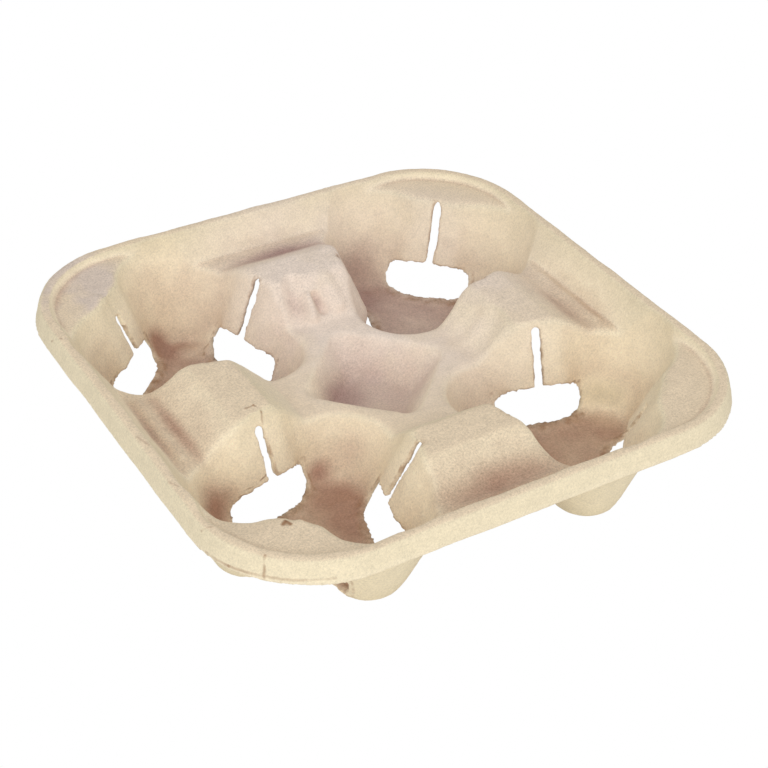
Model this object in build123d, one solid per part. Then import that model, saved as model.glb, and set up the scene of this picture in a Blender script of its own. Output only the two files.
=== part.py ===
from build123d import *
import math
import os

# Driving sizes, in millimetres and degrees
rim_width = 215.0          # across the flats of the rim's top
height = 46.0              # feet to rim top
wall = 2.0                 # moulded fibre thickness

wells_per_tray = 4
panels_per_well = 3
corner_turn = 180 / wells_per_tray                # from a side's direction to a corner's
lobe_turn = 180 / panels_per_well - corner_turn   # from a side's direction to the nearest lobe's

# Rim and the skirt turned down from it
corner_radius = 0.203 * rim_width    # plan radius of the rim's corners
skirt_height = 8.6
skirt_flare = 2.1          # how far the skirt leans out on each side
rim_land = 4.0             # width of the rim's top
rim_outer_round = 2.5      # rounding of the rim's outer top edge
rim_inner_round = 1.2      # rounding of the rim's inner top edge
rim_draft = 33.0           # slope of the rim's inner wall, from upright
ledge_drop = 3.0           # corner ledges, below the rim top
rim_inside = rim_width / 2 - rim_land             # half width inside the rim's top

# Cup wells: round lobes with a flat gripping panel between each two
well_pitch = 0.4885 * rim_width      # between centres of neighbouring wells
rim_gap = 0.3              # from a lobe to the inside of the rim's top
rim_reach = (rim_inside - rim_gap - well_pitch / 2) / math.cos(math.radians(lobe_turn))
lobe_centre = 0.495 * rim_reach      # well centre to the upright axis of a lobe
lobe_draft = 20.0          # slope of the lobes' walls, from upright
rim_grip = 0.70 * rim_reach          # well centre to a gripping panel, at the rim's level
grip_draft = 23.6          # slope of the gripping panels, from upright
panel_round = 0.25 * rim_reach       # rounding between panel and lobe
floor_round = 0.114 * rim_reach      # rounding at the foot of the walls, inside and out
mouth_round = 0.076 * rim_reach      # rounding of the edge round each well's mouth

# Posts between the wells: places along a side's direction, from the tray's centre
post_foot = 0.372 * rim_inside       # inner slope meets the ring round the pocket
post_inner = 0.527 * rim_inside      # inner edge of the post's flat top
post_outer = 0.671 * rim_inside      # outer edge of the post's flat top
trough_inner = 0.826 * rim_inside    # outer slope meets the trough beside the rim
post_drop = 0.087 * height           # post's flat top, below the rim top
trough_drop = 0.272 * height         # trough floor, below the rim top
post_round = 0.048 * rim_inside      # rounding along the post's top and at its feet

# Pocket in the middle, a square that points at the posts, with a level ring round it
ring_drop = 0.402 * height           # ring, below the rim top
ring_band = 0.052 * rim_inside       # width of the ring where a well comes nearest
pocket_drop = 0.717 * height         # pocket floor, below the rim top
pocket_draft = 34.6        # slope of its walls, from upright
pocket_corner = 6.0        # plan radius of its corners
pocket_foot = 4.0          # rounding at the foot of its walls
pocket_round = 0.048 * rim_reach     # rounding of its mouth

# T-shaped tear-outs in the gripping panels
slit_width = 3.4
slit_start = 1.0           # top end of the slit, below the ledge or post top
window_width = 0.72 * rim_reach
window_top = 0.38 * height           # top edge of the window, above the feet
window_droop = 0.065 * height        # how much lower that edge is at its ends
window_sill = 1.2          # bottom edge of the window, above the well floor
window_round = 3.5         # rounding of its corners

overshoot = 5.0            # how far cutting bodies run past what they cut
tolerance = 0.01


def leant(at_rim, draft, z, skin):
    """Distance of a leaning wall from its axis at height z, grown outwards by the skin."""
    lean = math.radians(draft)
    return at_rim - (height - z) * math.tan(lean) + skin / math.cos(lean)


def rounded_square(width, radius, z):
    return Pos(0, 0, z) * RectangleRounded(width, width, radius)


def rim_half(drop):
    """Half width of the rim's inner wall at a depth below the rim's top."""
    return rim_inside - drop * math.tan(math.radians(rim_draft))


def rim_block(skin):
    """All that lies inside the skirt and under the ledges, with the rim round it."""
    core = rounded_square(rim_width - 2 * wall, corner_radius - wall, -skin)
    core = extrude(core, amount=height - skirt_height + skin)
    foot = skirt_flare - skin
    skirt = rounded_square(rim_width + 2 * foot, corner_radius + foot, height - skirt_height)
    lean = math.degrees(math.atan2(skirt_flare, skirt_height))
    block = core + extrude(skirt, amount=skirt_height - skin, taper=lean)
    floor_drop = ledge_drop + skin
    half = rim_half(floor_drop) + skin / math.cos(math.radians(rim_draft))
    inner_radius = corner_radius - (rim_width / 2 - half)
    ledges = rounded_square(2 * half, inner_radius, height - floor_drop)
    block -= extrude(ledges, amount=floor_drop + overshoot, taper=-rim_draft)
    if skin == 0:
        crown = block.faces().filter_by(Axis.Z).sort_by(Axis.Z)[-1]
        block = fillet(crown.outer_wire().edges(), rim_outer_round)
        crown = block.faces().filter_by(Axis.Z).sort_by(Axis.Z)[-1]
        block = fillet(crown.inner_wires()[0].edges(), rim_inner_round)
    return block


def post_line():
    """Height over distance from the tray's centre: ring, post, trough and rim wall."""
    line = Polyline(
        (0, height - ring_drop),
        (post_foot, height - ring_drop),
        (post_inner, height - post_drop),
        (post_outer, height - post_drop),
        (trough_inner, height - trough_drop),
        (rim_half(trough_drop), height - trough_drop),
        (rim_half(-overshoot), height + overshoot),
    )
    return fillet(line.vertices().sort_by(Axis.X)[1:-2], post_round)


def side_cut(skin):
    """What is open over one post and its trough, on the +X side, between two diagonals."""
    line = post_line()
    if skin:
        line = offset(line, skin, side=Side.RIGHT, closed=False)
    ends = line.vertices().sort_by(Axis.X)
    first, last = Vector(*ends[0]), Vector(*ends[-1])
    lid = Polyline(first, (first.X, last.Y), last)
    section = Plane.XZ * make_face(Curve() + [line, lid])
    lobe_side = well_pitch / 2 - rim_reach * math.sin(math.radians(lobe_turn))
    band = extrude(section, amount=lobe_side, both=True)
    far = rim_width / 2
    wedge = extrude(make_face(Polyline((0, 0), (far, -far), (far, far), close=True)), amount=2 * height)
    return band & wedge


def well_core(skin):
    """The middle of a well, a six-sided funnel whose long sides are the gripping panels."""
    side = lobe_centre * math.sin(math.pi / panels_per_well)
    sections = []
    for z in (wall - skin, height + overshoot):
        grip = leant(rim_grip, grip_draft, z, skin)
        corners = []
        for k in range(panels_per_well):
            turn = 360 / panels_per_well * k
            corners.append(Vector(grip, -side).rotate(Axis.Z, turn))
            corners.append(Vector(grip, side).rotate(Axis.Z, turn))
        sections.append(Pos(0, 0, z) * make_face(Polyline(*corners, close=True)))
    return loft(sections, ruled=True)


def well_lobe(skin):
    """One round lobe of a well, an upright cone beside the well's own axis."""
    low = wall - skin
    high = height + overshoot
    foot_radius = leant(rim_reach, lobe_draft, low, skin) - lobe_centre
    top_radius = leant(rim_reach, lobe_draft, high, skin) - lobe_centre
    return Pos(lobe_centre, 0, (low + high) / 2) * Cone(foot_radius, top_radius, high - low)


def well_body(skin):
    """The space inside a well, or with a skin its outer form down to the foot."""
    step = 360 / panels_per_well
    body = well_core(skin)
    for k in range(panels_per_well):
        body += Rot(0, 0, step * (k + 0.5)) * well_lobe(skin)
    creases = [edge for edge in body.edges() if edge.bounding_box().size.Z > height / 2]
    body = fillet(creases, panel_round - skin)
    return fillet(body.faces().sort_by(Axis.Z)[0].edges(), floor_round)


def well_places():
    """Where the wells stand, each turned so that its +X panel faces its tray corner."""
    half = well_pitch / 2
    first = Pos(half, half, 0) * Rot(0, 0, corner_turn)
    return [Rot(0, 0, 360 / wells_per_tray * k) * first for k in range(wells_per_tray)]


def pocket(skin):
    """The square pocket between the wells, its corners towards the posts."""
    well_side = well_pitch * math.sqrt(0.5) - leant(rim_reach, lobe_draft, height - ring_drop, 0)
    mouth = well_side - ring_band
    low = height - pocket_drop - skin
    high = height - ring_drop + overshoot
    sections = []
    for z in (low, high):
        half = leant(mouth, pocket_draft, z + ring_drop, skin)
        sections.append(rounded_square(2 * half, pocket_corner, z))
    body = loft(sections, ruled=True)
    body = fillet(body.faces().sort_by(Axis.Z)[0].edges(), pocket_foot)
    return Rot(0, 0, corner_turn) * body


def mouth_edges(edges):
    """The edges of the wells' mouths, all but the steep ones on the rim's inner wall."""
    inside = rim_half(trough_drop)
    ledge = height - ledge_drop
    chosen = []
    for edge in edges:
        place = edge.center()
        if max(abs(place.X), abs(place.Y)) < inside or abs(place.Z - ledge) < tolerance:
            chosen.append(edge)
    return chosen


def form(skin):
    """The tray's upper surface over a solid base, or with a skin the surface that much below."""
    block = rim_block(skin)
    for k in range(wells_per_tray):
        block -= Rot(0, 0, 360 / wells_per_tray * k) * side_cut(skin)
    middle = pocket(skin)
    holed = block - middle
    if skin == 0:
        holed = fillet(new_edges(block, middle, combined=holed), pocket_round)
    wells = [place * well_body(skin) for place in well_places()]
    cut = holed - wells
    if skin == 0:
        cut = fillet(mouth_edges(new_edges(holed, *wells, combined=cut)), mouth_round)
    return cut


def tear_out(level):
    """A slit over a window, cut through the +X panel of a well."""
    top = height - level - slit_start
    sill = wall + window_sill
    side = window_width / 2
    shoulder = window_top - window_droop
    low = Polyline((-side, shoulder), (-side, sill), (side, sill), (side, shoulder))
    arch = ThreePointArc((side, shoulder), (0, window_top), (-side, shoulder))
    window = make_face(Curve() + [low, arch])
    window = fillet(window.vertices(), window_round)
    slit_length = top - window_top + 2 * slit_width
    slit = Pos(0, top - slit_length / 2) * SlotOverall(slit_length, slit_width, rotation=90)
    near = leant(rim_grip, grip_draft, wall, 0) / 2
    outline = Plane.YZ.offset(near) * (window + slit)
    return extrude(outline, amount=rim_grip + wall - near)


def build_carrier():
    shell = form(0) - form(wall)
    cuts = []
    for place in well_places():
        for k in range(panels_per_well):
            level = ledge_drop if k == 0 else post_drop
            cuts.append(place * Rot(0, 0, 360 / panels_per_well * k) * tear_out(level))
    return shell - cuts


os.makedirs("parts", exist_ok=True)
cup_carrier = build_carrier()
export_step(cup_carrier, "parts/cup_carrier.step")
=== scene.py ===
import math
import bmesh
import bpy
import numpy as np
from mathutils import Matrix, Vector, noise
from mathutils.bvhtree import BVHTree


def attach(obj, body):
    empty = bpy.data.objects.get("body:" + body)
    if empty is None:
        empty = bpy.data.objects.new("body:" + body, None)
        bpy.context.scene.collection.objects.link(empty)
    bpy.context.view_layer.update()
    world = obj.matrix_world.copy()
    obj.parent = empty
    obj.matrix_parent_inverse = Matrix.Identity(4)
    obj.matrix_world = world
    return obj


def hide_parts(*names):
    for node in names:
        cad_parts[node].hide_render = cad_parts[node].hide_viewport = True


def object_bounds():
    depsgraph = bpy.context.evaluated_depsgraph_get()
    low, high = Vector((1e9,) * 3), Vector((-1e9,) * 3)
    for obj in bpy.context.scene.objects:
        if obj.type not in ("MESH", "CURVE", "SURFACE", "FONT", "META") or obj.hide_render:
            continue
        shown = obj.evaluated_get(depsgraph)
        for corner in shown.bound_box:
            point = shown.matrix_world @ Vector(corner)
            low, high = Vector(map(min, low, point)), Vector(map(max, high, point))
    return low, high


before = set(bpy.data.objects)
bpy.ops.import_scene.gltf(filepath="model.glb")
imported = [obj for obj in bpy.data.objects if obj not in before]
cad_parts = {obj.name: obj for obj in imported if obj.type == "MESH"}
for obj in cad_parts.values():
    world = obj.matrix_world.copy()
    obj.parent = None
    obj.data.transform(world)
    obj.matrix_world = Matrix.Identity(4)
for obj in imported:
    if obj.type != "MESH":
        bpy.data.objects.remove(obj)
cad_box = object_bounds()

MM = 0.001

# Sizes of the CAD model
RIM_HEIGHT = 46 * MM           # feet to rim top
WELL_PITCH = 105 * MM          # between centres of neighbouring wells
RIM_GRIP = 36.8 * MM           # well centre to a gripping panel, at the rim's level
GRIP_LEAN = math.radians(23.6)
PANELS = 3
PANEL_NEAR = 12 * MM           # the panels' walls, as distances from the well's centre
PANEL_FAR = 42 * MM
LEDGE_DROP = 3.0 * MM
LEDGE_HALF = 101.5 * MM        # half width between the rim's inner walls, at the ledges
LEDGE_RADIUS = 37.6 * MM
POST_DROP = 4.0 * MM
SLIT_START = 1.0 * MM          # top of a slit, below its ledge or post
SLIT_HALF = 1.7 * MM           # half its width
WINDOW_HALF = 18.9 * MM        # half the window's width
WINDOW_TOP = 17.5 * MM
WINDOW_DROOP = 3.0 * MM        # how much lower its top edge is at the ends
WINDOW_SILL = 3.2 * MM

# Moulded surface
SEED = Vector((17.3, 4.1, 9.7))
VOXEL = 0.8 * MM
TRIANGLES = 190000
LUMP_SIZE = 14 * MM            # soft unevenness of the moulded wall
LUMP_DEPTH = 0.35 * MM
GRAIN_SIZE = 2.2 * MM          # coarse fibre grain
GRAIN_DEPTH = 0.10 * MM
TEAR_SIZE = 3.2 * MM           # ragged torn edges
TEAR_DEPTH = 0.85 * MM
TEAR_REACH = 3.0 * MM          # how far the rag of a torn edge is felt
TEAR_DETAIL = 0.35             # share of a finer rag, a third as large
TEAR_CALM = 0.55               # share of the rag above the windows' tops, as along the slits
FOOT_HEIGHT = 12 * MM          # below this the feet draw in
FOOT_DRAW = 0.03
WARP = Vector((-1.5, 0.9, 0)) * MM
WARP_HEIGHT = 34 * MM          # below this the front well leans by the warp
WARP_EDGE = 20 * MM            # over which the lean sets in, from the tray's middle lines

# Skins that close the tops of slits: the well's and the panel's directions in degrees, lower and upper end
SLIT_SKINS = [
    (225, 105, 36.5 * MM, 42.5 * MM),
    (315, 75, 39.2 * MM, 42.5 * MM),
    (135, 135, 33.5 * MM, 42.6 * MM),
    (315, 315, 32.0 * MM, 42.6 * MM),
    (225, 225, 34.0 * MM, 42.6 * MM),
]
SKIN_WIDTH = 5.0 * MM
SKIN_THICKNESS = 1.4 * MM
SKIN_DEPTH = 0.9               # in mm, from the well's side of the wall to the skin's middle

# Dents and bumps pressed into the tray: start, end, radius, and how far the wall moves, all in mm
DENTS = [
    # folds down the post between the left and the back well
    ((-6.9, 53.3, 41.0), (-11.8, 40.7, 29.6), 3.0, (0, 1.6, -1.8)),
    ((-3.5, 47.4, 35.5), (-4.5, 41.0, 29.8), 1.8, (0, -1.2, 1.3)),
    ((-0.2, 47.3, 35.4), (0.9, 42.5, 31.0), 1.5, (0, 1.6, -1.7)),
    ((6.3, 51.5, 39.2), (8.0, 43.0, 31.6), 2.6, (0, -1.1, 1.3)),
    # folds down the post between the back and the right well
    ((50.5, -5.5, 39.0), (42.0, -7.5, 31.0), 4.0, (1.1, 0, -1.2)),
    ((47.0, 3.5, 36.5), (42.0, 2.5, 31.0), 3.0, (0.8, 0, -0.9)),
    # small bumps with a pit beside them, on three ledges
    ((79.7, -80.0, 43.0), (79.7, -80.0, 43.0), 2.4, (0, 0, 0.8)),
    ((77.6, -78.2, 43.0), (77.6, -78.2, 43.0), 1.8, (0, 0, -0.8)),
    ((-80.4, 76.9, 43.0), (-80.4, 76.9, 43.0), 2.6, (0, 0, 0.8)),
    ((-78.6, 78.5, 43.0), (-78.6, 78.5, 43.0), 1.8, (0, 0, -0.8)),
    ((-74.5, -78.5, 43.0), (-74.5, -78.5, 43.0), 2.4, (0, 0, 0.9)),
    ((-76.5, -77.0, 43.0), (-76.5, -77.0, 43.0), 1.8, (0, 0, -0.8)),
    # both ends of the front ledge and one of the left trough, which sag
    ((-96.5, -64.5, 43.0), (-90.0, -69.5, 43.0), 6.0, (-1.2, -1.5, -1.8)),
    ((-66.0, -94.0, 43.0), (-62.5, -97.0, 43.0), 6.0, (-0.8, -0.8, -1.1)),
    ((-88.0, 25.0, 33.0), (-80.0, 25.0, 33.5), 6.0, (-0.4, -1.0, -1.3)),
    # a fold in the left well's floor, and the back well's window, which sits to one side
    ((-45.0, 82.0, 3.0), (-36.0, 77.0, 3.0), 3.2, (0.2, -0.5, 1.6)),
    ((56.0, 84.0, 10.0), (84.0, 56.0, 10.0), 9.0, (-0.9, 0.9, 0)),
]

# Low ridges in three troughs, between the post's foot and the rim, in mm
RIDGE_SIDES = (0, 180, 270)    # directions of the troughs, in degrees
RIDGE_PLACE = 91.6             # from the tray's centre
RIDGE_LEVEL = 33.5
RIDGE_HALF = 19                # half its length
RIDGE_RADIUS = 1.4
RIDGE_RISE = 1.0

# Window corners that tore further: the well's and the panel's directions, and for the left and the right
# end (seen from inside the well) the push along the panel and downwards, in mm
TORN_ENDS = [
    (225, 105, (1.5, 3.6), (2.0, 2.6)),
    (225, 345, (1.5, 2.0), (1.5, 2.0)),
    (315, 75, (3.2, 3.6), (1.2, 1.4)),
    (315, 195, (1.5, 2.0), (1.5, 2.4)),
    (135, 15, (1.8, 2.6), (1.8, 1.2)),
    (135, 255, (1.5, 2.0), (1.5, 2.0)),
    (45, 165, (1.5, 2.0), (1.5, 2.0)),
    (45, 285, (1.5, 2.0), (1.5, 2.0)),
    (45, 45, (1.8, 1.6), (1.2, 1.8)),
    (135, 135, (1.5, 2.0), (2.2, 2.8)),
    (225, 225, (1.5, 2.0), (1.5, 2.0)),
    (315, 315, (1.5, 2.0), (1.5, 2.0)),
]
TORN_RADIUS = 4.2
TORN_SETBACK = 4               # from the panel into the well, to the middle of the dent's line
TORN_HALF = 5                  # half the length of that line

# Where the tray's own walls shut a place in, painted shade darkens the colour: ray-cast occlusion, stored
# on the mesh and tinted brown
HOLLOW_REACH = 60 * MM         # how far away a wall still shuts a place in
HOLLOW_RAYS = 24
HOLLOW_START = 0.4             # in mm, rays start this far off the surface
HOLLOW_SMOOTHING = 30
WALL_TINT = 0.4                # share of the painted shade that steep walls take
STEEP = 0.45                   # upward part of a normal on a steep wall
LEVEL_STEP = 0.50              # how much more of it a level place has
RIM_SHADE = 0.16               # strength of the painted shade in the corner where rim and ledges meet
RIM_SHADE_HALF = 2.6 * MM
RIM_SHADE_HEIGHT = 3 * MM
CORNER_START = 50 * MM         # from the tray's middle lines to where its corners begin
CORNER_FADE = 15 * MM
SHADE_SPREAD = 1.5             # a painted patch fades out at this many times its half sizes

# Places painted darker as painted shade, or lighter as painted light where below 0: centre, half sizes,
# both in mm, and strength
SHADE_PATCHES = [
    # troughs
    ((0, -87, 34), (27, 8, 6), 0.20),
    ((4, 85, 35), (20, 6, 6), 0.26),
    ((-86, -4, 34), (2.6, 21, 5), 0.22),
    ((-95, -4, 34), (2.0, 21, 4), 0.12),
    ((84, -9, 36), (5, 16, 5), 0.15),
    ((94, -16, 35), (3, 12, 4), 0.07),
    # front well
    ((-84, -30, 15), (9, 8, 10), 0.24),
    ((-37, -22, 7), (6, 6, 5), 0.22),
    ((-30, -24, 14), (14, 6, 8), 0.08),
    ((-36, -46, 2), (12, 16, 10), 0.14),
    # left well
    ((-68, 80, 13), (6, 8, 9), 0.20),
    ((-54, 86, 7), (6, 6, 8), 0.24),
    ((-39, 78, 3), (8, 6, 8), -0.16),
    ((-66, 62, 3), (9, 8, 8), 0.06),
    # right well's far wall, back well
    ((84, -37, 7), (12, 12, 9), -0.18),
    ((44, 100, 22), (16, 9, 12), -0.06),
    ((22, 72, 20), (9, 14, 14), -0.05),
    ((42, 92, 12), (12, 8, 14), 0.18),
    # pocket, right well's floor
    ((-10, 8, 14), (10, 10, 6), 0.16),
    ((-17, 8, 20), (5, 10, 8), 0.08),
    ((44, -46, 4), (10, 14, 8), 0.16),
    ((66, -70, 4), (10, 10, 8), 0.08),
    # folds of the posts, left ledge, walls of the left and the back well
    ((-9.3, 47, 35), (3.0, 7, 6), 0.12),
    ((0.3, 45, 33.4), (1.5, 4, 4), 0.16),
    ((7, 48, 36), (4, 6, 6), -0.06),
    ((47, -5, 35), (5, 7, 6), 0.05),
    ((-92, 84, 43), (10, 10, 3), 0.05),
    ((-52, 99, 25), (26, 9, 15), 0.08),
    ((-88, 56, 22), (9, 20, 15), 0.05),
    ((52, 99, 30), (26, 9, 12), 0.04),
]

# Thin dark lines drawn on the colour for creases, steps, tears, a scratch and a nick; along the creases
# and steps the dark is painted shade: ends in mm, half width in mm, strength
MARKS = [
    # scratch on the front skirt, creases in the left rim
    ((-95.6, -92.2, 46), (-97.6, -94.8, 38.5), 0.45, 0.6),
    ((-107.6, -69.8, 44), (-104.2, -71.8, 46), 0.35, 0.35),
    ((-106.8, -43.8, 45.6), (-105.2, -47.5, 46), 0.4, 0.3),
    ((-105.9, -16.0, 46), (-104.4, -22, 46), 0.4, 0.3),
    ((-108.4, 57.5, 43), (-105.9, 52.6, 46), 0.35, 0.5),
    # line along the front skirt, just above its lower edge
    ((-107.6, -74, 38.4), (-104.6, -84, 38.6), 0.45, 0.6),
    ((-104.6, -84, 38.6), (-98.8, -93.4, 39.2), 0.45, 0.5),
    ((-98.8, -93.4, 39.2), (-90, -101.0, 39.4), 0.4, 0.4),
    ((-90, -101.0, 39.4), (-78, -106.6, 39.6), 0.4, 0.35),
    # tear beside the front well's left window
    ((-60.6, -27.6, 20.5), (-67.1, -30.4, 19.0), 0.28, 0.9),
    ((-67.1, -30.4, 19.0), (-77.0, -30.4, 17.4), 0.28, 0.9),
    ((-77.0, -30.4, 17.4), (-78.8, -31.6, 11.0), 0.28, 0.7),
    # arch over that window's slit
    ((-63.3, -14.8, 42.0), (-59.9, -14.4, 42.0), 0.35, 0.6),
    ((-59.9, -14.4, 42.0), (-58.7, -18.2, 40.8), 0.35, 0.6),
    ((-58.7, -18.2, 40.8), (-59.1, -20.3, 37.0), 0.35, 0.5),
    # nick in the front ledge
    ((-82.2, -78.9, 43.0), (-80.4, -77.6, 43.0), 0.6, 0.9),
    ((-80.4, -77.6, 43.0), (-79.8, -79.8, 42.6), 0.6, 0.9),
    ((-80.8, -78.6, 43.0), (-80.6, -79.2, 43.0), 0.9, 0.5),
]
MARK_OUTSIDE = 1.8             # a mark begins and is full at these times its half width
MARK_INSIDE = 0.4
MARK_WOBBLE = 0.9 * MM

# Colours, in sRGB
CREAM = (237, 223, 192)        # open outer walls
PALE = (253, 238, 209)         # inner walls, made paler as painted light where the walls shut them in a little
TAN = (239, 219, 190)          # level places: faces that look upwards take this darker tan as painted shade
LILAC = (243, 226, 211)        # bloom round the middle
ASHEN = (226, 209, 194)        # patch on the left ledge
SHADE_BROWN = (185, 147, 126)        # painted shade where the tray's walls shut a place in
SHADE_MAUVE = (184, 153, 145)        # the same painted shade, in the bloom
EDGE_BROWN = (160, 120, 88)      # torn edges, and the drawn lines, painted shade along creases and steps

# Noise patterns: scale, detail and roughness
CLOUDS = (28.0, 3.0, 0.6)
PATCHES = (90.0, 3.0, 0.6)
EDGE_PATCHES = (220.0, 2.0, 0.6)
WOBBLE = (350.0, 2.0, 0.5)
MOTTLE = (190.0, 4.0, 0.7)
SPECKS = (1500.0, 1.0, 0.6)
GRAIN = (1300.0, 2.0, 0.8)
RELIEF = (700.0, 3.0, 0.6)
FINE_RELIEF = (2400.0, 2.0, 0.6)

# Ramps: two values, and then what they turn into where that isn't 0 and 1
PALE_RAMP = (0.03, 0.12)                     # stored painted shade, to the painted light that makes walls paler
TINT_RAMP = (0.11, 0.42)                     # stored painted shade, with its patches
PATCH_RAMP = (0.3, 0.7, -0.03, 0.03)         # noise, to what is added to the stored painted shade
LEVEL_RAMP = (0.75, 0.98)                    # upward part of the normal
BLOOM_RAMP = (0.3, 0.55, 0.4, 1.0)           # clouds, to the strength of the lilac
ASHEN_RAMP = (0.35, 0.5)                     # clouds
EDGE_RAMP = (0.38, 0.65, 0.10, 0.65)       # noise, to the strength along torn edges
MOTTLE_RAMP = (0.3, 0.7, 0.945, 1.035)       # noise, to a factor on the colour
SPECK_RAMP = (0.66, 0.78, 1.0, 0.86)         # noise, to a factor on the colour
GRAIN_RAMP = (0.0, 0.6, 0.55, 0.85)          # dark painted shade, to the strength of the grain
SLOPE_RAMP = (0.55, 0.85)                    # upward part of the normal
HEIGHT_RAMP = (28 * MM, 33 * MM)             # height above the feet
LILAC_FADE = (88 * MM, 38 * MM)              # distances from LILAC_CENTRE
MAUVE_FADE = (95 * MM, 50 * MM)
ASHEN_FADE = (28 * MM, 16 * MM)              # distance from ASHEN_CENTRE
TORN_FADE = (0.9 * MM, 0.2 * MM)             # distance from a torn edge
LILAC_CENTRE = Vector((20, 40, 30)) * MM
ASHEN_CENTRE = Vector((-86, 86, 43)) * MM

# Surface of the fibre
TOP_GRAIN = 0.30               # more grain where the upper parts of the tray face upwards
ROUGHNESS = 0.92
SPECULAR = 0.25
BUMP_STRENGTH = 0.55
BUMP_DEPTH = 0.35 * MM
BUMP_FINE = 0.4                # share of the finer relief

# Studio: places in metres, sizes in metres, power in watts
FLOOR_HALF = 3.0
KEY_LIGHT = ((-0.71, -0.94, 0.70), 0.9, 6.4)
FRONT_LIGHT = ((0.35, -1.28, 0.12), 0.7, 2.4)
LIGHT_TARGET = Vector((0, 0, 0.02))
SKY_STRENGTH = 0.62

# Camera, set out from the rim's plane
CAMERA_TURN = math.radians(-31.90)
CAMERA_RISE = math.radians(35.87)
CAMERA_ROLL = math.radians(1.70)
CAMERA_TARGET = Vector((-14.77, -30.95, 46.0)) * MM
CAMERA_DISTANCE = 607.14 * MM
SENSOR = 36.0
FOCAL_PIXELS = 1664.49
IMAGE_PIXELS = 768


def linear(red, green, blue):
    """Linear colour of an sRGB one given in 0 to 255."""
    values = []
    for part in (red, green, blue):
        part /= 255
        values.append(part / 12.92 if part <= 0.04045 else ((part + 0.055) / 1.055) ** 2.4)
    return (*values, 1.0)


def well_centre(around):
    """Centre of the well in a direction from the tray's middle, in radians."""
    return Vector((math.cos(around), math.sin(around), 0)) * WELL_PITCH * math.sqrt(0.5)


def well_frames():
    """Centre of each well and the direction of its three gripping panels."""
    places = []
    for k in range(4):
        corner = math.radians(45 + 90 * k)
        turns = [corner + 2 * math.pi / PANELS * j for j in range(PANELS)]
        places.append((well_centre(corner), turns))
    return places


def place_on_panel(corner, turn, z):
    """A point on a gripping panel at height z, with the directions across it and out of it."""
    ahead = Vector((math.cos(math.radians(turn)), math.sin(math.radians(turn)), 0))
    across = Vector((-ahead.y, ahead.x, 0))
    outward = (ahead * math.cos(GRIP_LEAN) - Vector((0, 0, math.sin(GRIP_LEAN)))).normalized()
    reach = RIM_GRIP - (RIM_HEIGHT - z) * math.tan(GRIP_LEAN)
    return well_centre(math.radians(corner)) + ahead * reach + Vector((0, 0, z)), across, outward


def apply_modifiers(piece):
    """Replaces a piece's mesh by what its modifiers make of it."""
    graph = bpy.context.evaluated_depsgraph_get()
    mesh = bpy.data.meshes.new_from_object(piece.evaluated_get(graph))
    piece.modifiers.clear()
    old = piece.data
    piece.data = mesh
    bpy.data.meshes.remove(old)


def points_of(mesh):
    flat = np.empty(len(mesh.vertices) * 3, dtype=np.float32)
    mesh.vertices.foreach_get("co", flat)
    return flat.reshape(-1, 3)


def normals_of(mesh):
    flat = np.empty(len(mesh.vertices) * 3, dtype=np.float32)
    mesh.vertices.foreach_get("normal", flat)
    return flat.reshape(-1, 3)


def noise_vectors(points, size):
    """Smooth random vectors that change over the given size."""
    return np.array([noise.noise_vector(Vector(p) / size + SEED) for p in points], dtype=np.float32)


def keep_inside(points):
    """The points, held inside the CAD model's box."""
    return np.clip(points, np.array(cad_box[0], dtype=np.float32), np.array(cad_box[1], dtype=np.float32))


def fibre_mesh(node):
    """A fine even skin of the moulded solid, as a new object in the row frame."""
    shell = bpy.data.objects.new("pulp_tray", node.data.copy())
    bpy.context.scene.collection.objects.link(shell)
    shell.data.transform(node.matrix_world)
    add_skins(shell)
    remesh = shell.modifiers.new("even", "REMESH")
    remesh.mode = "VOXEL"
    remesh.voxel_size = VOXEL
    apply_modifiers(shell)
    return shell


def add_skins(shell):
    """Thin skins of pulp that still close the upper ends of some slits."""
    build = bmesh.new()
    build.from_mesh(shell.data)
    for corner, turn, low, high in SLIT_SKINS:
        middle, across, outward = place_on_panel(corner, turn, (low + high) / 2)
        rise = outward.cross(across)
        frame_of_skin = Matrix((across, rise, outward)).transposed().to_4x4()
        size = Matrix.Diagonal((SKIN_WIDTH, (high - low) / math.cos(GRIP_LEAN), SKIN_THICKNESS, 1))
        place = Matrix.Translation(middle + outward * SKIN_DEPTH * MM) @ frame_of_skin @ size
        bmesh.ops.create_cube(build, size=1.0, matrix=place)
    build.to_mesh(shell.data)
    build.free()


def tear_outline(across, height, slit_top):
    """Distance from the outline of a tear-out, measured in its panel: below 0 inside it."""
    slit = np.maximum(np.abs(across) - SLIT_HALF, np.maximum(height - slit_top, WINDOW_TOP / 2 - height))
    shoulder = WINDOW_TOP - WINDOW_DROOP * (across / WINDOW_HALF) ** 2
    window = np.maximum(np.abs(across) - WINDOW_HALF, np.maximum(WINDOW_SILL - height, height - shoulder))
    return np.minimum(slit, window)


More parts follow.
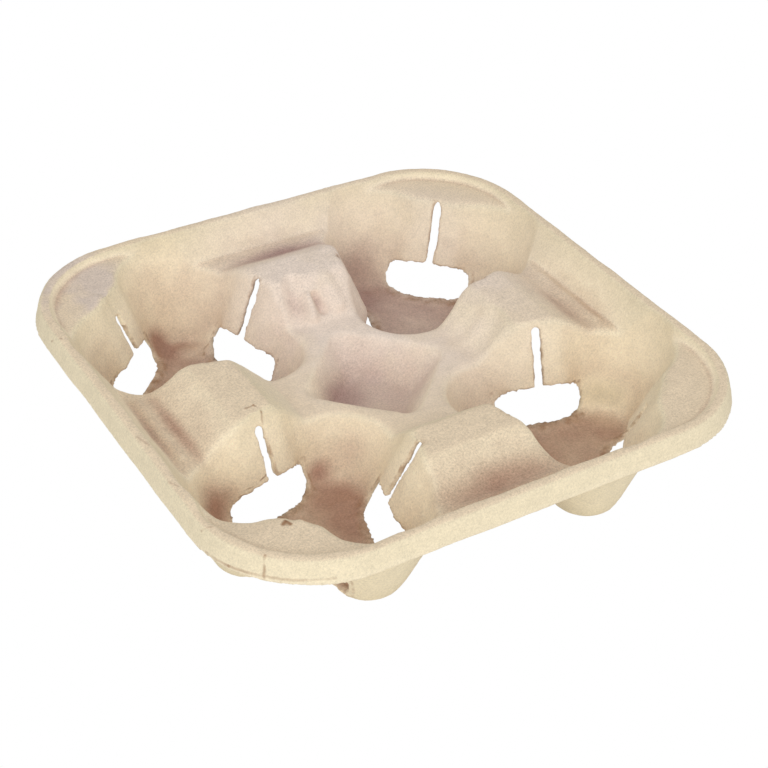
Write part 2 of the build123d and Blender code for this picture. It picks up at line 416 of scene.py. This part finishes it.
def tear_outs(points):
    """How far each point is from the nearest torn edge, and how the rag of that edge moves it."""
    upright = np.array((0, 0, 1), dtype=np.float32)
    nearest = np.full(len(points), TEAR_REACH, dtype=np.float32)
    shift = np.zeros_like(points)
    for centre, turns in well_frames():
        for number, turn in enumerate(turns):
            ahead = np.array((math.cos(turn), math.sin(turn), 0), dtype=np.float32)
            aside = np.array((-math.sin(turn), math.cos(turn), 0), dtype=np.float32)
            plan = points - np.array(centre, dtype=np.float32)
            reach = plan @ ahead
            off = plan @ aside
            level = LEDGE_DROP if number == 0 else POST_DROP
            gap = np.abs(tear_outline(off, points[:, 2], RIM_HEIGHT - level - SLIT_START))
            close = np.flatnonzero((gap < TEAR_REACH) & (reach > PANEL_NEAR) & (reach < PANEL_FAR))
            flat = np.stack((off[close], points[close, 2], np.full(len(close), turn * WELL_PITCH)), axis=1)
            rag = noise_vectors(flat, TEAR_SIZE) + TEAR_DETAIL * noise_vectors(flat, TEAR_SIZE / 3)
            calm = np.where(points[close, 2] > WINDOW_TOP, TEAR_CALM, 1.0)
            weight = TEAR_DEPTH * (calm * (1 - gap[close] / TEAR_REACH))[:, None]
            shift[close] = weight * (rag[:, :1] * aside + rag[:, 1:2] * upright)
            nearest[close] = np.minimum(nearest[close], gap[close])
    return nearest, shift


def trough_ridges():
    """The dents, pushed upwards, that raise the ridges in the troughs."""
    dents = []
    for turn in RIDGE_SIDES:
        out = Vector((math.cos(math.radians(turn)), math.sin(math.radians(turn)), 0))
        along = Vector((-out.y, out.x, 0)) * RIDGE_HALF
        middle = out * RIDGE_PLACE + Vector((0, 0, RIDGE_LEVEL))
        dents.append((tuple(middle - along), tuple(middle + along), RIDGE_RADIUS, (0, 0, RIDGE_RISE)))
    return dents


def torn_corners():
    """The dents that draw in the upper corners of the windows."""
    dents = []
    for corner, turn, left, right in TORN_ENDS:
        middle, across, outward = place_on_panel(corner, turn, WINDOW_TOP - WINDOW_DROOP)
        for side, (inwards, down) in ((1, left), (-1, right)):
            place = middle + across * side * WINDOW_HALF - outward * TORN_SETBACK * MM
            ends = [tuple((place + outward * reach * MM) / MM) for reach in (TORN_HALF, -TORN_HALF)]
            push = -across * side * inwards - Vector((0, 0, down))
            dents.append((*ends, TORN_RADIUS, tuple(push)))
    return dents


def press_dents(points):
    """Moves both skins of the wall together, so that a dent keeps the wall's thickness.

    A dent's push is full on its line and fades out at twice its radius.
    """
    moved = points.copy()
    for start, end, radius, push in DENTS + trough_ridges() + torn_corners():
        a = np.array(start, dtype=np.float32) * MM
        b = np.array(end, dtype=np.float32) * MM
        along = b - a
        length = float(along @ along)
        share = np.zeros(len(points)) if length == 0 else np.clip((points - a) @ along / length, 0, 1)
        gap = np.linalg.norm(points - a - share[:, None] * along, axis=1) / (radius * MM)
        weight = np.where(gap < 2, (1 - (gap / 2) ** 2) ** 2, 0)
        moved += weight[:, None].astype(np.float32) * np.array(push, dtype=np.float32) * MM
    return moved


def round_feet(points):
    """Draws the wells' feet in a little, and leans the front well, as the tray has warped."""
    moved = points.copy()
    depth = np.clip(1 - points[:, 2] / FOOT_HEIGHT, 0, 1)[:, None] ** 2 * FOOT_DRAW
    for centre, _ in well_frames():
        plan = points[:, :2] - np.array(centre[:2], dtype=np.float32)
        near = (np.abs(plan).max(axis=1) < WELL_PITCH / 2)[:, None]
        moved[:, :2] -= np.where(near, plan * depth, 0)
    front = np.clip(-points[:, :2].max(axis=1) / WARP_EDGE, 0, 1)
    lean = front * np.clip(1 - points[:, 2] / WARP_HEIGHT, 0, 1)
    return moved + lean[:, None] * np.array(WARP, dtype=np.float32)


def roughen(shell):
    """Gives the skin the soft lumps, the fibre grain and the ragged tears of wet-moulded pulp."""
    mesh = shell.data
    points = points_of(mesh)
    normals = normals_of(mesh)
    lumps = noise_vectors(points, LUMP_SIZE)[:, :1] * LUMP_DEPTH
    grain = noise_vectors(points, GRAIN_SIZE)[:, 1:2] * GRAIN_DEPTH
    moved = round_feet(press_dents(points)) + normals * (lumps + grain) + tear_outs(points)[1]
    mesh.vertices.foreach_set("co", keep_inside(moved).ravel())
    mesh.update()


def thin_out(shell):
    """Brings the skin down to its number of triangles, keeping the edges."""
    count = sum(len(face.vertices) - 2 for face in shell.data.polygons)
    if count > TRIANGLES:
        decimate = shell.modifiers.new("fewer", "DECIMATE")
        decimate.ratio = TRIANGLES / count
        apply_modifiers(shell)
    shell.data.vertices.foreach_set("co", keep_inside(points_of(shell.data)).ravel())
    for face in shell.data.polygons:
        face.use_smooth = True


def sphere_directions(count):
    """Directions spread evenly over a half sphere round +Z, denser towards its middle."""
    golden = math.pi * (3 - math.sqrt(5))
    directions = []
    for k in range(count):
        radius = math.sqrt((k + 0.5) / count)
        height = math.sqrt(1 - radius * radius)
        directions.append(Vector((radius * math.cos(golden * k), radius * math.sin(golden * k), height)))
    return directions


def shut_in(shell):
    """How much of what each point faces is the tray's own walls: 0 none, 1 all."""
    tree = BVHTree.FromObject(shell, bpy.context.evaluated_depsgraph_get())
    directions = sphere_directions(HOLLOW_RAYS)
    share = np.zeros(len(shell.data.vertices), dtype=np.float32)
    for index, vertex in enumerate(shell.data.vertices):
        turn = vertex.normal.to_track_quat("Z", "Y")
        start = vertex.co + vertex.normal * HOLLOW_START * MM
        for direction in directions:
            hit = tree.ray_cast(start, turn @ direction, HOLLOW_REACH)
            if hit[0] is not None:
                share[index] += 1 / HOLLOW_RAYS
    return share


def smoothed(mesh, values, rounds):
    """The values at a mesh's points, each round averaged with those of their neighbours."""
    ends = np.empty(len(mesh.edges) * 2, dtype=np.int32)
    mesh.edges.foreach_get("vertices", ends)
    first, second = ends[0::2], ends[1::2]
    count = len(values)
    neighbours = np.bincount(ends, minlength=count)
    for _ in range(rounds):
        total = np.bincount(first, values[second], count) + np.bincount(second, values[first], count)
        values = ((values + total) / (1 + neighbours)).astype(np.float32)
    return values


def under_rim(points):
    """1 along the corner between the rim's inner wall and the ledges, falling to 0 beside it."""
    beyond = np.abs(points[:, :2]) - (LEDGE_HALF - LEDGE_RADIUS)
    gap = np.linalg.norm(np.maximum(beyond, 0), axis=1) + np.minimum(beyond.max(axis=1), 0) - LEDGE_RADIUS
    near = np.clip(1 - np.abs(gap) / RIM_SHADE_HALF, 0, 1)
    low = np.clip(1 - np.abs(points[:, 2] - RIM_HEIGHT + LEDGE_DROP) / RIM_SHADE_HEIGHT, 0, 1)
    corner = np.clip((np.abs(points[:, :2]).min(axis=1) - CORNER_START) / CORNER_FADE, 0, 1)
    return near * low * corner


def painted_shade_at(points):
    """How much painted shade each point takes, and painted light where below 0: the line under the rim and
    the listed patches.
    """
    # Painted shade in the corner under the rim's inner wall, then the listed painted patches
    depth = RIM_SHADE * under_rim(points)
    for centre, half, strength in SHADE_PATCHES:
        gap = np.linalg.norm((points / MM - np.array(centre)) / np.array(half), axis=1)
        depth += strength * np.clip(1 - (gap / SHADE_SPREAD) ** 2, 0, 1) ** 2
    return depth


def store_painted_shade(shell):
    """Stores for each point its painted shade, from how much the walls shut it in: about 0 open, 1 shut
    in.
    """
    mesh = shell.data
    upward = normals_of(mesh)[:, 2]
    level = np.clip((upward - STEEP) / LEVEL_STEP, 0, 1)
    # Painted shade: ray-cast occlusion, stronger on level places, later turns the colour darker
    painted_shade = shut_in(shell)
    painted_shade *= WALL_TINT + (1 - WALL_TINT) * level
    painted_shade = smoothed(mesh, painted_shade, HOLLOW_SMOOTHING)
    painted_shade += painted_shade_at(points_of(mesh)) * (upward > 0)
    mesh.attributes.new("painted_shade", "FLOAT", "POINT").data.foreach_set("value", painted_shade)


def mark_tears(shell):
    """Stores for each point how far it is from the nearest torn edge, in metres."""
    mesh = shell.data
    points = points_of(mesh)
    gap = tear_outs(points - tear_outs(points)[1])[0]
    for corner, turn, low, high in SLIT_SKINS:
        top = place_on_panel(corner, turn, high)[0]
        end = place_on_panel(corner, turn, low)[0]
        share = np.clip((high - points[:, 2]) / (high - low), 0, 1)[:, None]
        middle = np.array(top, dtype=np.float32) * (1 - share) + np.array(end, dtype=np.float32) * share
        gap[np.linalg.norm(points - middle, axis=1) < SKIN_WIDTH] = TEAR_REACH
    mesh.attributes.new("torn", "FLOAT", "POINT").data.foreach_set("value", gap)


class Nodes:
    """Short hand for building a material's node tree."""

    def __init__(self, name):
        self.material = bpy.data.materials.new(name)
        self.material.use_nodes = True
        self.tree = self.material.node_tree
        self.shader = self.tree.nodes["Principled BSDF"]

    def add(self, kind, **values):
        node = self.tree.nodes.new(kind)
        for key, value in values.items():
            setattr(node, key, value)
        return node

    def join(self, start, end):
        self.tree.links.new(start, end)

    def attribute(self, name):
        return self.add("ShaderNodeAttribute", attribute_name=name).outputs["Fac"]

    def height(self, vector):
        """The Z part of a place or of a direction."""
        node = self.add("ShaderNodeSeparateXYZ")
        self.join(vector, node.inputs[0])
        return node.outputs["Z"]

    def noise(self, where, scale, detail, roughness, output="Fac"):
        node = self.add("ShaderNodeTexNoise")
        node.inputs["Scale"].default_value = scale
        node.inputs["Detail"].default_value = detail
        node.inputs["Roughness"].default_value = roughness
        self.join(where, node.inputs["Vector"])
        return node.outputs[output]

    def ramp(self, value, low, high, start=0.0, end=1.0):
        """Maps value from low..high to start..end, held at both ends."""
        node = self.add("ShaderNodeMapRange", clamp=True)
        for name, number in (("From Min", low), ("From Max", high), ("To Min", start), ("To Max", end)):
            node.inputs[name].default_value = number
        self.join(value, node.inputs["Value"])
        return node.outputs["Result"]

    def math(self, operation, first, second):
        node = self.add("ShaderNodeMath", operation=operation)
        for socket, value in zip(node.inputs, (first, second)):
            if isinstance(value, (int, float)):
                socket.default_value = value
            else:
                self.join(value, socket)
        return node.outputs["Value"]

    def vector(self, operation, first, second=None):
        """A vector sum; for SCALE the second value is the factor."""
        node = self.add("ShaderNodeVectorMath", operation=operation)
        sockets = (node.inputs[0], node.inputs["Scale"] if operation == "SCALE" else node.inputs[1])
        for socket, value in zip(sockets, (first, second)):
            if isinstance(value, (int, float, tuple, Vector)):
                socket.default_value = value
            elif value is not None:
                self.join(value, socket)
        single = operation in ("LENGTH", "DOT_PRODUCT", "DISTANCE")
        return node.outputs["Value" if single else "Vector"]

    def line_distance(self, where, start, end):
        """Distance from the line between two points."""
        along = end - start
        rel = self.vector("SUBTRACT", where, start)
        share = self.math("MULTIPLY", self.vector("DOT_PRODUCT", rel, along), 1 / along.length_squared)
        share = self.ramp(share, 0.0, 1.0)
        return self.vector("LENGTH", self.vector("SUBTRACT", rel, self.vector("SCALE", along, share)))

    def mix(self, amount, first, second):
        """Blends two colours, each a socket or an sRGB triple."""
        node = self.add("ShaderNodeMix", data_type="RGBA")
        self.join(amount, node.inputs[0])
        for index, value in ((6, first), (7, second)):
            if isinstance(value, tuple):
                node.inputs[index].default_value = linear(*value)
            else:
                self.join(value, node.inputs[index])
        return node.outputs[2]


def colour_with_painted_shade(n, where, upward):
    """The pulp's colour with painted light and shade, and how strong its dark painted shade is: paler
    walls, a darker tan on level places, brown where walls shut a place in.
    """
    painted_shade = n.attribute("painted_shade")
    level = n.ramp(upward, *LEVEL_RAMP)
    cloud = n.noise(where, *CLOUDS)
    # Painted light: walls that are a little shut in are made paler
    colour = n.mix(n.ramp(painted_shade, *PALE_RAMP), CREAM, PALE)
    # Painted shade: faces that look upwards turn the darker tan
    colour = n.mix(level, colour, TAN)

    from_middle = n.vector("DISTANCE", where, LILAC_CENTRE)
    bloom = n.math("MULTIPLY", n.ramp(from_middle, *LILAC_FADE), n.ramp(cloud, *BLOOM_RAMP))
    colour = n.mix(bloom, colour, LILAC)
    patch = n.math("MULTIPLY", level, n.ramp(n.vector("DISTANCE", where, ASHEN_CENTRE), *ASHEN_FADE))
    colour = n.mix(n.math("MULTIPLY", patch, n.ramp(cloud, *ASHEN_RAMP)), colour, ASHEN)

    patches = n.ramp(n.noise(where, *PATCHES), *PATCH_RAMP)
    # Painted shade: where the walls shut a place in, the colour turns brown or mauve
    tint = n.ramp(n.math("ADD", painted_shade, patches), *TINT_RAMP)
    dark = n.mix(n.ramp(from_middle, *MAUVE_FADE), SHADE_BROWN, SHADE_MAUVE)
    return n.mix(tint, colour, dark), tint


def darken_edges_and_lines(n, where, colour):
    """Darkens the torn edges unevenly, and draws the creases and tears with a wobbling line; along creases
    and steps that line is painted shade.
    """
    uneven = n.ramp(n.noise(where, *EDGE_PATCHES), *EDGE_RAMP)
    torn = n.ramp(n.attribute("torn"), *TORN_FADE)
    colour = n.mix(n.math("MULTIPLY", torn, uneven), colour, EDGE_BROWN)

    wobble = n.noise(where, *WOBBLE, output="Color")
    wobble = n.vector("SCALE", n.vector("SUBTRACT", wobble, (0.5,) * 3), MARK_WOBBLE)
    bent = n.vector("ADD", where, wobble)
    # Painted shade: dark lines where creases and steps are not modelled
    for start, end, half, strength in MARKS:
        gap = n.line_distance(bent, Vector(start) * MM, Vector(end) * MM)
        line = n.ramp(gap, half * MM * MARK_OUTSIDE, half * MM * MARK_INSIDE, 0.0, strength)
        colour = n.mix(line, colour, EDGE_BROWN)
    return colour


def fibre_shade(n, where, upward, tint):
    """How much lighter or darker the fibres make each place."""
    mottle = n.ramp(n.noise(where, *MOTTLE), *MOTTLE_RAMP)
    speck = n.ramp(n.noise(where, *SPECKS), *SPECK_RAMP)
    top = n.math("MULTIPLY", n.ramp(upward, *SLOPE_RAMP), n.ramp(n.height(where), *HEIGHT_RAMP))
    amount = n.math("ADD", n.ramp(tint, *GRAIN_RAMP), n.math("MULTIPLY", top, TOP_GRAIN))
    grain = n.math("SUBTRACT", n.noise(where, *GRAIN), 0.5)
    grain = n.math("ADD", n.math("MULTIPLY", grain, amount), 1.0)
    return n.math("MULTIPLY", n.math("MULTIPLY", mottle, speck), grain)


def fibre_bump(n, where):
    """The finest relief of the felted fibres."""
    fine = n.math("MULTIPLY", n.noise(where, *FINE_RELIEF), BUMP_FINE)
    relief = n.math("ADD", n.noise(where, *RELIEF), fine)
    bump = n.add("ShaderNodeBump")
    bump.inputs["Strength"].default_value = BUMP_STRENGTH
    bump.inputs["Distance"].default_value = BUMP_DEPTH
    n.join(relief, bump.inputs["Height"])
    n.join(bump.outputs["Normal"], n.shader.inputs["Normal"])


def pulp_material():
    """Dry moulded fibre: mottled beige with fine specks and a rough grain."""
    n = Nodes("pulp")
    where = n.add("ShaderNodeTexCoord").outputs["Object"]
    upward = n.height(n.add("ShaderNodeNewGeometry").outputs["Normal"])
    colour, tint = colour_with_painted_shade(n, where, upward)
    colour = darken_edges_and_lines(n, where, colour)
    shade = fibre_shade(n, where, upward, tint)
    n.join(n.vector("SCALE", colour, shade), n.shader.inputs["Base Color"])
    n.shader.inputs["Roughness"].default_value = ROUGHNESS
    n.shader.inputs["Specular IOR Level"].default_value = SPECULAR
    fibre_bump(n, where)
    return n.material


def paper_white():
    """Backdrop: plain white to the camera, a pale matt surface to the light."""
    n = Nodes("backdrop")
    n.shader.inputs["Base Color"].default_value = (0.9, 0.9, 0.9, 1.0)
    n.shader.inputs["Roughness"].default_value = 1.0
    path = n.add("ShaderNodeLightPath")
    glow = n.add("ShaderNodeEmission")
    glow.inputs["Strength"].default_value = 1.0
    choose = n.add("ShaderNodeMixShader")
    n.join(path.outputs["Is Camera Ray"], choose.inputs[0])
    n.join(n.shader.outputs["BSDF"], choose.inputs[1])
    n.join(glow.outputs["Emission"], choose.inputs[2])
    n.join(choose.outputs["Shader"], n.tree.nodes["Material Output"].inputs["Surface"])
    return n.material


def add_floor():
    mesh = bpy.data.meshes.new("floor")
    corners = [(x * FLOOR_HALF, y * FLOOR_HALF, 0) for x, y in ((-1, -1), (1, -1), (1, 1), (-1, 1))]
    mesh.from_pydata(corners, [], [(0, 1, 2, 3)])
    floor = bpy.data.objects.new("floor", mesh)
    bpy.context.scene.collection.objects.link(floor)
    floor.data.materials.append(paper_white())


def add_light(name, place, size, power):
    data = bpy.data.lights.new(name, "AREA")
    data.size = size
    data.energy = power
    lamp = bpy.data.objects.new(name, data)
    lamp.location = place
    lamp.rotation_euler = (Vector(place) - LIGHT_TARGET).to_track_quat("Z", "Y").to_euler()
    bpy.context.scene.collection.objects.link(lamp)


def add_lights():
    """Two soft lamps and an even sky, which the camera sees brighter than it lights the tray."""
    add_light("key", *KEY_LIGHT)
    add_light("front", *FRONT_LIGHT)
    world = bpy.data.worlds.new("studio")
    world.use_nodes = True
    nodes = world.node_tree.nodes
    links = world.node_tree.links
    sky = nodes["Background"]
    sky.inputs["Color"].default_value = (1, 1, 1, 1)
    sky.inputs["Strength"].default_value = SKY_STRENGTH
    seen = nodes.new("ShaderNodeBackground")
    seen.inputs["Strength"].default_value = 1.0
    path = nodes.new("ShaderNodeLightPath")
    choose = nodes.new("ShaderNodeMixShader")
    links.new(path.outputs["Is Camera Ray"], choose.inputs[0])
    links.new(sky.outputs[0], choose.inputs[1])
    links.new(seen.outputs[0], choose.inputs[2])
    links.new(choose.outputs[0], nodes["World Output"].inputs["Surface"])
    bpy.context.scene.world = world


def add_camera():
    """The photograph's own view, as fitted to the rim and the wells."""
    back = Vector((
        math.sin(CAMERA_TURN) * math.cos(CAMERA_RISE),
        -math.cos(CAMERA_TURN) * math.cos(CAMERA_RISE),
        math.sin(CAMERA_RISE),
    ))
    level = Vector((math.cos(CAMERA_TURN), math.sin(CAMERA_TURN), 0))
    above = back.cross(level)
    right = level * math.cos(CAMERA_ROLL) + above * math.sin(CAMERA_ROLL)
    up = back.cross(right)
    data = bpy.data.cameras.new("camera")
    data.sensor_width = SENSOR
    data.lens = SENSOR * FOCAL_PIXELS / IMAGE_PIXELS
    camera = bpy.data.objects.new("camera", data)
    turn = Matrix((right, up, back)).transposed().to_4x4()
    camera.matrix_world = Matrix.Translation(CAMERA_TARGET + back * CAMERA_DISTANCE) @ turn
    bpy.context.scene.collection.objects.link(camera)
    bpy.context.scene.camera = camera


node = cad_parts["cup_carrier"]
tray = fibre_mesh(node)
roughen(tray)
thin_out(tray)
store_painted_shade(tray)
mark_tears(tray)
tray.data.materials.clear()
tray.data.materials.append(pulp_material())
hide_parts("cup_carrier")
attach(tray, "root")

add_floor()
add_lights()
add_camera()
bpy.context.scene.view_settings.view_transform = "Standard"
